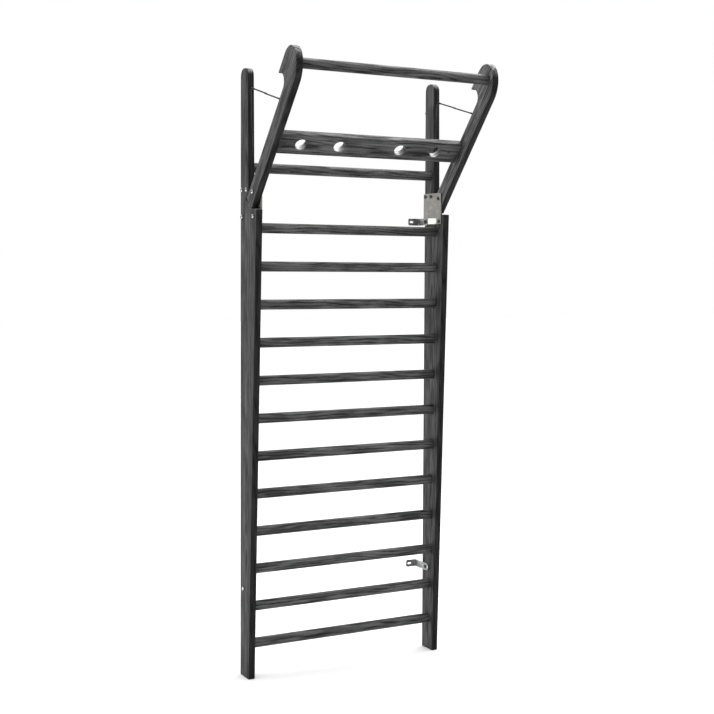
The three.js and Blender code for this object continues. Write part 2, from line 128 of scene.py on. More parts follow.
TOP_LIGHT = {"place": (1.6, 0.1, 5.0), "target": (0, -0.25, 1.4), "size": (2.0, 2.0), "power": 150}
LEFT_LIGHT = {"place": (-4.2, 0.6, 0.5), "target": (0, -0.2, 0.4), "size": (2.4, 1.0), "power": 190}

RINGS_PER_METRE = 84.0
RING_TAPER = 0.02  # how fast the rings narrow along the piece
RING_DRIFT = 0.055  # how far they wander

# Colour levels, 1 being plain. Most of them are painted light and shade rather than stain: painted
# shade on narrow faces and hand-hold walls, painted light on rounded tops and hand-hold floors, and
# a painted light level for each side piece. They are set to match the tones, not measured from real
# wood.
FLAT = 0.9  # a face whose normal passes this along an axis counts as facing that way
# painted shade: narrow faces and their rounded edges are drawn darker than the wide faces
NARROW_FACE_SHADE = 0.2
# painted light: narrow faces that lean upward, and rounded tops, are drawn lighter, starting from
# TOP_FROM
TOP_PAINTED_LIGHT = 3.6
TOP_FROM = 0.2
BOARD_TONE = 1.25
ROD_TONE = 1.25
# painted shade inside the hand-holds, with a painted highlight added where the wall faces up
HOLE_WALL_SHADE = 0.15
HOLE_FLOOR_HIGHLIGHT = 3.5
# painted light and shade: each upright's and arm's wide faces get their own level, darker or
# lighter as they were lit
SIDE_PAINTED_LIGHT = {"left_upright": 0.32, "right_upright": 0.6, "left_arm": 0.58, "right_arm": 1.4}


# ---- Materials ------------------------------------------------------------------------


class Shader:
    """A material under construction, with one short call per node."""

    def __init__(self, name):
        self.material = bpy.data.materials.new(name)
        self.material.use_nodes = True
        self.tree = self.material.node_tree
        self.surface = self.tree.nodes["Principled BSDF"]

    def node(self, kind, inputs=None, **settings):
        made = self.tree.nodes.new(f"ShaderNode{kind}")
        for key, value in settings.items():
            setattr(made, key, value)
        for key, value in (inputs or {}).items():
            self.feed(made.inputs[key], value)
        return made

    def feed(self, socket, value):
        if isinstance(value, bpy.types.NodeSocket):
            self.tree.links.new(value, socket)
        elif isinstance(value, bpy.types.Node):
            self.tree.links.new(value.outputs[0], socket)
        else:
            socket.default_value = value

    def set(self, **inputs):
        for key, value in inputs.items():
            self.feed(self.surface.inputs[key.replace("_", " ")], value)

    def math(self, operation, a, b=0.0, clamp=False):
        made = self.node("Math", {0: a, 1: b}, operation=operation)
        made.use_clamp = clamp
        return made.outputs[0]

    def attribute(self, name, output="Vector"):
        return self.node("Attribute", attribute_name=name).outputs[output]

    def stretched(self, source, scale):
        return self.node("Mapping", {"Vector": source, "Scale": scale}).outputs["Vector"]

    def noise(self, vector, scale, detail=3.0, roughness=0.55, distortion=0.0):
        inputs = {
            "Vector": vector,
            "Scale": scale,
            "Detail": detail,
            "Roughness": roughness,
            "Distortion": distortion,
        }
        return self.node("TexNoise", inputs).outputs["Fac"]

    def ramp(self, factor, stops):
        made = self.node("ValToRGB", {"Fac": factor})
        elements = made.color_ramp.elements
        while len(elements) < len(stops):
            elements.new(0.5)
        for element, (place, colour) in zip(elements, stops):
            element.position = place
            element.color = grey(colour) if isinstance(colour, float) else (*colour, 1)
        return made.outputs["Color"]

    def range(self, value, low, high, new_low, new_high):
        inputs = {
            "Value": value,
            "From Min": low,
            "From Max": high,
            "To Min": new_low,
            "To Max": new_high,
        }
        return self.node("MapRange", inputs).outputs["Result"]

    def mix(self, factor, a, b, blend="MIX"):
        made = self.node("Mix", data_type="RGBA", blend_type=blend)
        self.feed(made.inputs[0], factor)
        self.feed(made.inputs[6], a)
        self.feed(made.inputs[7], b)
        return made.outputs[2]

    def bump(self, height, strength, distance):
        inputs = {"Height": height, "Strength": strength, "Distance": distance}
        return self.node("Bump", inputs).outputs["Normal"]


def grey(level):
    return (level, level, level, 1)


def grain_tone(shader, grain):
    """Growth rings as the saw cuts them: arches on wide faces, lines on narrow ones."""
    sway = shader.noise(shader.stretched(grain, (9, 9, 2.6)), 1.0, 2.0)
    parts = shader.node("SeparateXYZ", {"Vector": grain})
    across = shader.math("MULTIPLY", parts.outputs["X"], parts.outputs["X"])
    deep = shader.math("MULTIPLY", parts.outputs["Y"], parts.outputs["Y"])
    radius = shader.math("SQRT", shader.math("ADD", across, deep))
    taper = shader.math("MULTIPLY", parts.outputs["Z"], RING_TAPER)
    drift = shader.math("MULTIPLY", sway, RING_DRIFT)
    place = shader.math("ADD", shader.math("ADD", radius, taper), drift)
    rings = shader.math("FRACT", shader.math("MULTIPLY", place, RINGS_PER_METRE))
    return shader.ramp(rings, [(0.0, 0.25), (0.14, 0.0), (0.4, 0.9), (0.8, 1.0), (1.0, 0.25)])


def black_ash(name, low, high, worn_level, rough_low, rough_high, spec=0.22):
    """Black-stained open-grained wood; "grain" holds each point's (across, deep, along) place."""
    shader = Shader(name)
    grain = shader.attribute("grain")
    edge = shader.attribute("edge", "Fac")
    rings = grain_tone(shader, grain)
    streaks = shader.noise(shader.stretched(grain, (70, 70, 8)), 1.0, 6.0, 0.62)
    streak_tone = shader.range(streaks, 0.44, 0.56, 0.0, 1.0)
    pores = shader.noise(shader.stretched(grain, (900, 900, 26)), 1.0, 3.0, 0.6)
    pore_tone = shader.range(pores, 0.44, 0.6, 0.0, 1.0)
    blotch = shader.noise(shader.stretched(grain, (24, 24, 4)), 1.0, 3.0, 0.6)
    figure = shader.math(
        "ADD",
        shader.math("MULTIPLY", rings, 0.46),
        shader.math(
            "ADD",
            shader.math("MULTIPLY", streak_tone, 0.4),
            shader.math("MULTIPLY", pore_tone, 0.14),
        ),
    )
    stained = shader.mix(figure, grey(low), grey(high))
    # the per-corner level read here carries painted light and shade on the uprights, arms and
    # hand-holds, and a plain stain level elsewhere; the blotch is random stain
    painted_light_and_stain = shader.attribute("painted_light_and_stain", "Fac")
    level = shader.math("MULTIPLY", painted_light_and_stain, shader.range(blotch, 0.3, 0.7, 0.6, 1.4))
    painted_light_and_blotch = shader.node("CombineXYZ", {0: level, 1: level, 2: level})
    toned = shader.mix(1.0, stained, painted_light_and_blotch, "MULTIPLY")
    rub = shader.noise(shader.stretched(grain, (120, 120, 14)), 1.0, 3.0, 0.6)
    worn = shader.math("MULTIPLY", edge, shader.range(rub, 0.4, 0.7, 0.0, 0.5))
    relief = shader.math("ADD", pores, shader.math("MULTIPLY", figure, 0.8))
    shader.set(
        Base_Color=shader.mix(worn, toned, grey(worn_level)),
        Roughness=shader.range(figure, 0.2, 0.8, rough_high, rough_low),
        Specular_IOR_Level=spec,
        Normal=shader.bump(relief, 0.45, 0.0006),
    )
    return shader.material


def steel(name, low, high, roughness, streak_scale, tint=(1.0, 1.0, 1.0)):
    """Bare or plated steel with streaks, fine scratches and brighter rubbed edges."""
    shader = Shader(name)
    grain = shader.attribute("grain")
    edge = shader.attribute("edge", "Fac")
    streaks = shader.noise(shader.stretched(grain, streak_scale), 1.0, 4.0, 0.65)
    cloud = shader.noise(grain, 38.0, 3.0, 0.6)
    streak_part = shader.math("MULTIPLY", streaks, 0.6)
    blend = shader.math("ADD", streak_part, shader.math("MULTIPLY", cloud, 0.4))
    dark = tuple(low * part for part in tint)
    light = tuple(high * part for part in tint)
    colour = shader.ramp(blend, [(0.34, dark), (0.66, light)])
    rubbed = (*(min(1.0, high * 1.25) * part for part in tint), 1)
    shader.set(
        Base_Color=shader.mix(shader.math("MULTIPLY", edge, 0.7), colour, rubbed),
        Metallic=1.0,
        Roughness=shader.range(blend, 0.3, 0.7, roughness - 0.07, roughness + 0.1),
        Normal=shader.bump(streaks, 0.12, 0.0002),
    )
    return shader.material


def satin_coat(name, low, high, spec):
    """A dark satin coating with a slight mottle."""
    shader = Shader(name)
    grain = shader.attribute("grain")
    cloud = shader.noise(grain, 260.0, 4.0, 0.6)
    shader.set(
        Base_Color=shader.ramp(cloud, [(0.3, low), (0.7, high)]),
        Roughness=shader.range(cloud, 0.3, 0.7, 0.38, 0.6),
        Specular_IOR_Level=spec,
        Normal=shader.bump(cloud, 0.25, 0.0002),
    )
    return shader.material


def label_paper():
    shader = Shader("label_paper")
    grain = shader.attribute("grain")
    fibres = shader.noise(grain, 900.0, 4.0, 0.7)
    shader.set(
        Base_Color=shader.ramp(fibres, [(0.3, (0.66, 0.66, 0.64)), (0.7, (0.74, 0.74, 0.72))]),
        Roughness=0.5,
        Normal=shader.bump(fibres, 0.1, 0.0001),
    )
    return shader.material


def floor_material():
    shader = Shader("studio_floor")
    coordinates = shader.node("TexCoord").outputs["Object"]
    mottle = shader.noise(coordinates, 3.0, 3.0)
    shader.set(
        Base_Color=shader.ramp(mottle, [(0.3, 0.62), (0.7, 0.66)]),
        Roughness=0.8,
        Specular_IOR_Level=0.1,
    )
    return shader.material


WOOD = black_ash("black_ash", 0.0, 0.068, 0.02, 0.46, 0.7, 0.13)
# smoother wood for the hand-hold walls; its colour is scaled by painted shade on the walls and a
# painted highlight at their floors
HOLE_WOOD = black_ash("hand_polished_ash", 0.03, 0.16, 0.1, 0.4, 0.55, 0.3)
PLATE_STEEL = steel("plate_steel_look", 0.13, 0.265, 0.42, (10, 30, 420), (1.0, 0.975, 0.9))
BOLT_STEEL = steel("bolt_steel_look", 0.16, 0.3, 0.27, (200, 200, 200))
BRACKET_STEEL = steel("bracket_steel_look", 0.16, 0.32, 0.36, (25, 25, 300), (0.98, 0.99, 1.0))
WIRE_COAT = satin_coat("wire_coat_look", 0.012, 0.03, 0.05)
DARK_STEEL = steel("dark_steel_look", 0.03, 0.07, 0.4, (200, 200, 200))
BLACK_FINISH = satin_coat("black_finish", 0.010, 0.028, 0.5)
LABEL_PAPER = label_paper()


# ---- Mesh helpers ---------------------------------------------------------------------


def new_mesh():
    """An empty bmesh with the layer that marks rounded edges."""
    bm = bmesh.new()
    bm.faces.layers.float.new("edge")
    return bm


def grain_layer(bm, along, seed):
    """Stores each point's (across, deep, along) place from the heart of the tree it came from.

    The offset cancels out apart from rounding. It stays because removing it moves the grain.
    """
    layer = bm.verts.layers.float_vector.new("grain")
    side = X_AXIS if abs(along.x) < 0.5 else ACROSS_ARM
    third = along.cross(side)
    along_log = 0.61 * seed
    offset = Vector((0.035 + 0.013 * (seed % 5), 0.028 + 0.011 * (seed % 7), along_log))
    for vert in bm.verts:
        place = Vector((vert.co.dot(third), vert.co.dot(side), vert.co.dot(along)))
        vert[layer] = place + offset
    middle = sum((vert[layer] for vert in bm.verts), Vector()) / len(bm.verts)
    heart = Vector((0.004 + 0.006 * (seed % 4), 0.020 + 0.008 * (seed % 3), along_log))
    for vert in bm.verts:
        vert[layer] = vert[layer] - middle + heart


def finish_piece(
    name, bm, materials, body, stands_for, along=Z_AXIS, seed=0, smooth=SHARP_ANGLE
):
    """Turns a bmesh into a piece that rides on its body and takes the CAD node's place."""
    grain_layer(bm, along, seed)
    mesh = bpy.data.meshes.new(name)
    bm.to_mesh(mesh)
    bm.free()
    for material in materials:
        mesh.materials.append(material)
    piece = bpy.data.objects.new(name, mesh)
    bpy.context.scene.collection.objects.link(piece)
    mesh.shade_smooth()
    mesh.set_sharp_from_angle(angle=math.radians(smooth))
    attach(piece, body)
    if stands_for:
        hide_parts(*stands_for)
    return piece


def welded(node_name):
    """The CAD node's own shape as one clean bmesh with its flat faces whole."""
    bm = bmesh.new()
    bm.from_mesh(nodes[node_name].data)
    bmesh.ops.remove_doubles(bm, verts=bm.verts, dist=0.01 * MM)
    bmesh.ops.dissolve_limit(bm, angle_limit=math.radians(0.5), verts=bm.verts, edges=bm.edges)
    return bm


def sharp_edges(bm):
    return [edge for edge in bm.edges if edge.calc_face_angle(0.0) > math.radians(SHARP_ANGLE)]


def edge_loops(edges):
    """Groups of edges that hang together."""
    left = set(edges)
    groups = []
    while left:
        stack = [left.pop()]
        group = []
        while stack:
            edge = stack.pop()
            group.append(edge)
            for vert in edge.verts:
                for other in vert.link_edges:
                    if other in left:
                        left.remove(other)
                        stack.append(other)
        groups.append(group)
    return groups


def extent(edges):
    points = [vert.co for edge in edges for vert in edge.verts]
    spans = [max(p[i] for p in points) - min(p[i] for p in points) for i in range(3)]
    return max(spans)


def round_edges(bm, edges, width, steps=ROUND_STEPS):
    """Rounds the edges and marks the new faces as edge, for wear and highlights."""
    layer = bm.faces.layers.float.get("edge") or bm.faces.layers.float.new("edge")
    before = set(bm.faces)
    result = bmesh.ops.bevel(
        bm,
        geom=edges,
        offset=width,
        offset_type="OFFSET",
        segments=steps,
        profile=0.5,
        affect="EDGES",
        clamp_overlap=False,
        harden_normals=False,
    )
    for face in result["faces"]:
        if face not in before:
            face[layer] = 1.0


def set_tone(bm, tone_of):
    """Stores how much lighter or darker than usual each corner is drawn: painted light and shade on
    the uprights, arms and hand-holds, and a stain level elsewhere.
    """
    layer = bm.loops.layers.float.new("painted_light_and_stain")
    for face in bm.faces:
        for loop in face.loops:
            loop[layer] = tone_of(face, loop.vert)


def mean_lean(vert, direction, flat_side):
    """How far the faces round a point lean towards a direction, leaving out the flat sides."""
    leans = [
        face.normal.dot(direction)
        for face in vert.link_faces
        if abs(face.normal.dot(flat_side)) <= FLAT
    ]
    return sum(leans) / len(leans) if leans else 0.0


def board_painted_light(side_light_level):
    """Painted light and shade: wide faces at their piece's own painted level, painted shade on
    narrow edges and painted light on rounded tops.
    """

    def tone_of(face, vert):
        if abs(face.normal.x) > FLAT:
            return side_light_level
        lean = mean_lean(vert, Z_AXIS, X_AXIS)
        # painted light on faces that lean up, painted shade on the other narrow faces
        top = min(max((lean - TOP_FROM) / (1 - TOP_FROM), 0), 1)
        return NARROW_FACE_SHADE + (TOP_PAINTED_LIGHT - NARROW_FACE_SHADE) * top

    return tone_of


def softened_board(node_name, along, seed, body, tone_of, paint=None):
    """A board with rounded long edges and hand-holds and a small chamfer at its sockets."""
    bm = welded(node_name)
    loops = edge_loops(sharp_edges(bm))
    wide = [edge for loop in loops if extent(loop) >= SOCKET_EXTENT for edge in loop]
    narrow = [edge for loop in loops if extent(loop) < SOCKET_EXTENT for edge in loop]
    round_edges(bm, wide, BOARD_ROUND)
    round_edges(bm, [edge for edge in narrow if edge.is_valid], HOLE_ROUND, 1)
    set_tone(bm, tone_of)
    if paint:
        paint(bm)
    return finish_piece(
        f"{node_name}_wood",
        bm,
        [WOOD, HOLE_WOOD],
        body,
        [node_name],
        along,
        seed,
    )


def add_ring(bm, centre, side_a, side_b, radius, count):
    """A closed ring of points; radius may be a number or a function of the angle."""
    ring = []
    for i in range(count):
        angle = 2 * math.pi * i / count
        reach = radius(angle) if callable(radius) else radius
        offset = side_a * (math.cos(angle) * reach) + side_b * (math.sin(angle) * reach)
        ring.append(bm.verts.new(centre + offset))
    return ring


def bridge(bm, first, second, material=0):
    faces = []
    count = len(first)
    for i in range(count):
        j = (i + 1) % count
        face = bm.faces.new((first[i], first[j], second[j], second[i]))
        face.material_index = material
        faces.append(face)
    return faces


def turned(bm, start, axis, profile, count=BOLT_SIDES, materials=None):
    """A closed turned solid: profile holds (distance along the axis, radius) from end to end."""
    side_a = axis.orthogonal().normalized()
    side_b = axis.cross(side_a)
    rings = [
        add_ring(bm, start + axis * height, side_a, side_b, radius, count)
        for height, radius in profile
    ]
    for i in range(len(rings) - 1):
        bridge(bm, rings[i], rings[i + 1], materials[i] if materials else 0)
    first = bm.faces.new(list(reversed(rings[0])))
    last = bm.faces.new(rings[-1])
    if materials:
        first.material_index = materials[0]
        last.material_index = materials[-1]


def hexagon(across):
    """Radius of a hexagon with that width across its flats, as a function of the angle."""
    apothem = across / 2

    def radius(angle):
        turn = (angle + math.pi / 6) % (math.pi / 3) - math.pi / 6
        return apothem / math.cos(turn)

    return radius


def ring_tube(bm, points, radius, count):
    """A round tube through a closed ring of points, with one frame carried all the way round."""
    total = len(points)
    rings = []
    side = (points[1] - points[-1]).normalized().orthogonal().normalized()
    for i, point in enumerate(points):
        heading = (points[(i + 1) % total] - points[i - 1]).normalized()
        side = (side - heading * side.dot(heading)).normalized()
        rings.append(add_ring(bm, point, side, heading.cross(side), radius, count))
    for i in range(total):
        bridge(bm, rings[i], rings[(i + 1) % total])


def box_centre(node_name):
    low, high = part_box(node_name)
    return (low + high) / 2


def body_of(node_name):
    return nodes[node_name]["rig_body"]


# ---- Wood -----------------------------------------------------------------------------


def build_rods():
    """Round rungs and the pull-up bar, with eased ends."""
    names = [f"rung_{i:02d}" for i in range(1, 13)] + ["upper_rung", "pull_up_bar"]
    for index, name in enumerate(names):
        low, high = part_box(name)
        centre = box_centre(name)
        radius = (high.z - low.z) / 2
        length = high.x - low.x
        ease = 1.5 * MM
        profile = [
            (0.0, radius - ease),
            (ease * 0.3, radius - ease * 0.3),
            (ease, radius),
        ]
        stations = 24
        for i in range(1, stations):
            profile.append((length * i / stations, radius))
        profile += [
            (length - ease, radius),
            (length - ease * 0.3, radius - ease * 0.3),
            (length, radius - ease),
        ]
        bm = new_mesh()
        turned(bm, Vector((low.x, centre.y, centre.z)), X_AXIS, profile, ROD_SIDES)
        set_tone(bm, lambda face, vert: ROD_TONE)
        finish_piece(
            f"{name}_wood",
            bm,
            [WOOD],
            body_of(name),
            [name],
            X_AXIS,
            index + 3,
        )


def paint_hand_holds(bm):
    """The walls of the hand-holds are smooth, with painted shade on them and a painted highlight at
    the bottom.
    """
    painted_light_and_stain = bm.loops.layers.float["painted_light_and_stain"]
    middle = box_centre("grip_board")
    half_row, half_height = 0.33, 30 * MM  # the part of the board that holds them
    for face in bm.faces:
        place = face.calc_center_median() - middle
        inside = abs(place.x) < half_row and abs(place.dot(ALONG_ARM)) < half_height
        if inside and abs(face.normal.dot(ACROSS_ARM)) < FLAT:
            face.material_index = 1
            for loop in face.loops:
                # painted shade on the walls, rising to a painted highlight where the wall faces up
                lean = mean_lean(loop.vert, ALONG_ARM, ACROSS_ARM)
                loop[painted_light_and_stain] = HOLE_WALL_SHADE + HOLE_FLOOR_HIGHLIGHT * max(0.0, lean) ** 2


def build_boards():
    for index, side in enumerate(SIDES):
        upright, arm = f"{side}_upright", f"{side}_arm"
        upright_light, arm_light = board_painted_light(SIDE_PAINTED_LIGHT[upright]), board_painted_light(SIDE_PAINTED_LIGHT[arm])
        softened_board(upright, Z_AXIS, 20 + index, "wall_frame", upright_light)
        softened_board(arm, ALONG_ARM, 24 + index, "pull_up_frame", arm_light)
    softened_board(
        "grip_board", X_AXIS, 29, "pull_up_frame", lambda face, vert: BOARD_TONE, paint_hand_holds
    )


# ---- Steel plates and straps ----------------------------------------------------------


def build_plates():
    for index, side in enumerate(SIDES):
        name = f"{side}_hinge_plate"
        bm = welded(name)
        round_edges(bm, sharp_edges(bm), 0.7 * MM, 2)
        finish_piece(
            f"{name}_steel",
            bm,
            [PLATE_STEEL],
            "wall_frame",
            [name],
            Z_AXIS,
            40 + index,
        )


def upright_edges(bm, x, y):
    """The vertical edges that stand at (x, y)."""

    def stands_there(vert):
        return abs(vert.co.x - x) < NEAR and abs(vert.co.y - y) < NEAR

    return [edge for edge in bm.edges if all(stands_there(vert) for vert in edge.verts)]


def flange_corners(bm, x):
    """The short level edges at the flange's free end."""
    return [
        edge
        for edge in bm.edges
        if all(abs(vert.co.x - x) < NEAR for vert in edge.verts)
        and abs(edge.verts[0].co.z - edge.verts[1].co.z) < NEAR / 2
    ]


def bevel(bm, edges, width, steps):
    bmesh.ops.bevel(bm, geom=edges, offset=width, segments=steps, profile=0.5, affect="EDGES")


def build_brackets():
    """Bent straps: a wide outer bend, a tight inner one and eased flange corners."""
    for index, side in enumerate(SIDES):
        for level in ("upper", "lower"):
            name = f"{side}_{level}_bracket"
            low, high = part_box(name)
            leg_x = high.x if side == "right" else low.x
            flange_x = low.x if side == "right" else high.x
            inward = -1 if side == "right" else 1
            inner_x = leg_x + inward * STRAP_THICKNESS
            bm = welded(name)
            bm.faces.layers.float.new("edge")
            bevel(bm, upright_edges(bm, leg_x, high.y), OUTER_BEND, 6)
            bevel(bm, upright_edges(bm, inner_x, high.y - STRAP_THICKNESS), INNER_BEND, 4)
            bevel(bm, flange_corners(bm, flange_x), FLANGE_ROUND, 6)
            round_edges(bm, sharp_edges(bm), 0.5 * MM, 2)
            finish_piece(
                f"{name}_steel",
                bm,
                [BRACKET_STEEL],
                "wall_frame",
                [name],
                Z_AXIS,
                44 + 2 * index + (level == "lower"),
            )


# ---- Bolts and small fittings ---------------------------------------------------------


def domed_head(radius, height, base, hex_across, hex_depth):
    """Profile of a domed head with a hexagon socket, from its rim to the socket's floor."""
    rim_part = 0.25  # of the height, below the dome
    profile = [
        (base, radius * 0.97),
        (base + 0.12 * height, radius),
        (base + rim_part * height, radius),
    ]
    mouth = hex_across * 0.62
    steps = 6
    for i in range(1, steps + 1):
        turn = math.pi / 2 * i / steps
        reach = mouth + (radius - mouth) * math.cos(turn)
        rise = rim_part + (1 - rim_part) * math.sin(turn)
        profile.append((base + height * rise, reach))
    top = base + height
    hexagon_radius = hexagon(hex_across)
    profile.append((top - 0.15 * MM, hexagon_radius))
    profile.append((top - hex_depth, hexagon_radius))
    return profile


def inner_end(name):
    """A crosswise piece's inner end, its direction outward and its length."""
    low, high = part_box(name)
    centre = box_centre(name)
    right = name.startswith("right")
    start = Vector((low.x if right else high.x, centre.y, centre.z))
    return start, X_AXIS if right else -X_AXIS, high.x - low.x


def build_plate_bolts():
    """Domed bolts outside, round sleeve nuts inside, all with hexagon sockets."""
    names = ["pivot_bolt", "stop_bolt", "rear_top_bolt", "front_low_bolt", "rear_low_bolt"]
    names.append("lower_bracket_bolt")
    for index, side in enumerate(SIDES):
        for turn, bolt in enumerate(names):
            name = f"{side}_{bolt}"
            start, outward, length = inner_end(name)
            socket = hexagon(4 * MM)
            nut = [
                (1.6 * MM, socket),
                (0.1 * MM, socket),
                (0.0, 2.6 * MM),
                (0.0, 5.4 * MM),
                (0.35 * MM, 6.3 * MM),
                (1.0 * MM, NUT_RADIUS - 0.25 * MM),
                (1.6 * MM, NUT_RADIUS),
                (NUT_HEIGHT, NUT_RADIUS),
                (NUT_HEIGHT, SHANK_RADIUS),
                (length - HEAD_HEIGHT - 0.1 * MM, SHANK_RADIUS),
            ]
            head = domed_head(HEAD_RADIUS, HEAD_HEIGHT, length - HEAD_HEIGHT, HEX_ACROSS, 3 * MM)
            profile = nut + head
            materials = [1] * 8 + [0] * (len(profile) - 9) + [1]
            bm = new_mesh()
            turned(bm, start, outward, profile, BOLT_SIDES, materials)
            finish_piece(
                f"{name}_steel",
                bm,
                [BOLT_STEEL, DARK_STEEL],
                "wall_frame",
                [name],
                X_AXIS,
                50 + 6 * index + turn,
                30,
            )


def build_board_fittings():
    """The bolt through each arm into the grip board."""
    for index, side in enumerate(SIDES):
        name = f"{side}_board_bolt"
        start, outward, length = inner_end(name)
        profile = [(0.0, 2.4 * MM), (0.8 * MM, 3 * MM), (length - 2.7 * MM, 3 * MM)]
        profile += domed_head(4.6 * MM, 2.6 * MM, length - 2.6 * MM, 3 * MM, 1.6 * MM)
        bm = new_mesh()
        turned(bm, start, outward, profile)
        seed = 70 + index
        finish_piece(
            f"{name}_steel", bm, [DARK_STEEL], "pull_up_frame", [name], X_AXIS, seed
        )


def build_barrels():
    """Dark turned barrels let into the arms' inner faces."""
    for index, side in enumerate(SIDES):
        name = f"{side}_arm_barrel"
        start, outward, depth = inner_end(name)
        low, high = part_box(name)
        radius = (high.z - low.z) / 2
        slot = hexagon(5 * MM)
        profile = [
            (2.4 * MM, slot),
            (0.15 * MM, slot),
            (0.0, 3.3 * MM),
            (0.0, radius - 1.0 * MM),
            (0.25 * MM, radius - 0.3 * MM),
            (0.8 * MM, radius),
            (depth, radius),
        ]
        bm = new_mesh()
        turned(bm, start, outward, profile)
        seed = 74 + index
        finish_piece(
            f"{name}_cap", bm, [BLACK_FINISH], "pull_up_frame", [name], X_AXIS, seed
        )


def build_softened_fittings():
    """The rear buttons and the cross barrels in the grip board."""
    for index, side in enumerate(SIDES):
        for kind, body in (("rear_button", "wall_frame"), ("board_barrel", "pull_up_frame")):
            name = f"{side}_{kind}"
            bm = welded(name)
            round_edges(bm, sharp_edges(bm), 0.4 * MM, 2)
            finish_piece(
                f"{name}_cap", bm, [BLACK_FINISH], body, [name], Z_AXIS, 80 + index
            )


# ---- Wire stays -----------------------------------------------------------------------


def strand_radius(radius):
    """Cross-section of a laid wire rope: shallow lobes, one for each outer strand."""

    def at(angle):
        return radius * (0.93 + 0.07 * math.cos(STRANDS * angle))

    return at


def laid_wire(bm, start, heading, length, radius):
    """A straight wire rope whose strands turn about its axis."""
    side_a = heading.orthogonal().normalized()
    side_b = heading.cross(side_a)
    count = max(2, round(length / LAY_STEP))
    rings = []
    for i in range(count + 1):
        distance = length * i / count
        angle = 2 * math.pi * distance / LAY_LENGTH
        a = side_a * math.cos(angle) + side_b * math.sin(angle)
        b = heading.cross(a)
        rings.append(add_ring(bm, start + heading * distance, a, b, strand_radius(radius), 36))
    for i in range(count):
        bridge(bm, rings[i], rings[i + 1])
    bm.faces.new(list(reversed(rings[0])))
    bm.faces.new(rings[-1])


def eased(length, radius, drop=RIM):
    """Profile of a small rod or disc with eased ends."""
    return [(0, radius - drop), (RIM, radius), (length - RIM, radius), (length, radius - drop)]


def stay_half(bm, pin, heading, length, offset, radius):
    """A pin, two cheeks on short legs, a crossbar, a pressed ferrule and the wire itself."""
    half_width = 3.5 * MM
    turned(bm, pin - X_AXIS * half_width, X_AXIS, eased(2 * half_width, PIN), 24)
    for cheek in (-1, 1):
        out = X_AXIS * cheek
        turned(bm, pin + out * 1.95 * MM, out, eased(1.5 * MM, CHEEK), 32)
        turned(bm, pin + out * 2.7 * MM, heading, [(0, LEG), (FORK_LENGTH, LEG)], 16)
    low = min(-half_width, offset - FERRULE)
    high = max(half_width, offset + FERRULE)
    bar_start = pin + heading * FORK_LENGTH + X_AXIS * low
    turned(bm, bar_start, X_AXIS, eased(high - low, BAR, 0.3 * MM), 24)
    ferrule = [(0, 3.2 * MM), (0.5 * MM, FERRULE), (15 * MM, FERRULE), (16 * MM, radius)]
    turned(bm, pin + heading * 5.8 * MM + X_AXIS * offset, heading, ferrule, 32)
    hidden = 8 * MM  # the wire starts this far from the pin, inside the ferrule
    laid_wire(bm, pin + heading * hidden + X_AXIS * offset, heading, length - hidden, radius)


def build_stays():
    for index, side in enumerate(SIDES):
        pins = {}
        for half in ("rear", "front"):
            pins[half] = Vector(joints[f"{side}_stay_{half}_hinge"]["pos_m"])
        for half, other in (("rear", "front"), ("front", "rear")):
            name = f"{side}_stay_{half}"
            pin = pins[half]
            heading = (pins[other] - pin).normalized()
            corners = [vert.co - pin for vert in nodes[name].data.vertices]
            length = max(corner.dot(heading) for corner in corners)
            tips = [corner.x for corner in corners if corner.dot(heading) > length - 1 * MM]
            offset = sum(tips) / len(tips)
            radius = (max(tips) - min(tips)) / 2
            bm = new_mesh()
            stay_half(bm, pin, heading, length, offset, radius)
            body, seed = body_of(name), 90 + index
            finish_piece(
                f"{name}_wire", bm, [WIRE_COAT], body, [name], heading, seed
            )


def build_eyes():
    """Eye screws: a bent ring on a collar, its shank let into the wood."""
    steps = 40
    shank = [(-16 * MM, 1.6 * MM), (-15 * MM, EYE_SHANK), (0.05 * MM, EYE_SHANK)]
    collar = [(0.1 * MM, EYE_COLLAR), (0.7 * MM, EYE_COLLAR)]
    neck = [(1.1 * MM, 2.2 * MM), (1.7 * MM, 1.3 * MM)]
    for index, side in enumerate(SIDES):
        for kind, half, outward in (
            ("upright_eye", "rear", -Y_AXIS),
            ("arm_eye", "front", ACROSS_ARM),
        ):
            name = f"{side}_{kind}"
            centre = Vector(joints[f"{side}_stay_{half}_hinge"]["pos_m"])
            third = outward.cross(X_AXIS)
            points = []
            for i in range(steps):
                angle = 2 * math.pi * i / steps
                spoke = outward * math.cos(angle) + third * math.sin(angle)
                points.append(centre + spoke * EYE_RING)
            bm = new_mesh()
            ring_tube(bm, points, EYE_WIRE, 16)
            turned(bm, centre - outward * 4.8 * MM, outward, shank + collar + neck, 32)
            body, seed = body_of(name), 96 + index
            finish_piece(
                f"{name}_steel", bm, [DARK_STEEL], body, [name], outward, seed
            )


# ---- Label ----------------------------------------------------------------------------


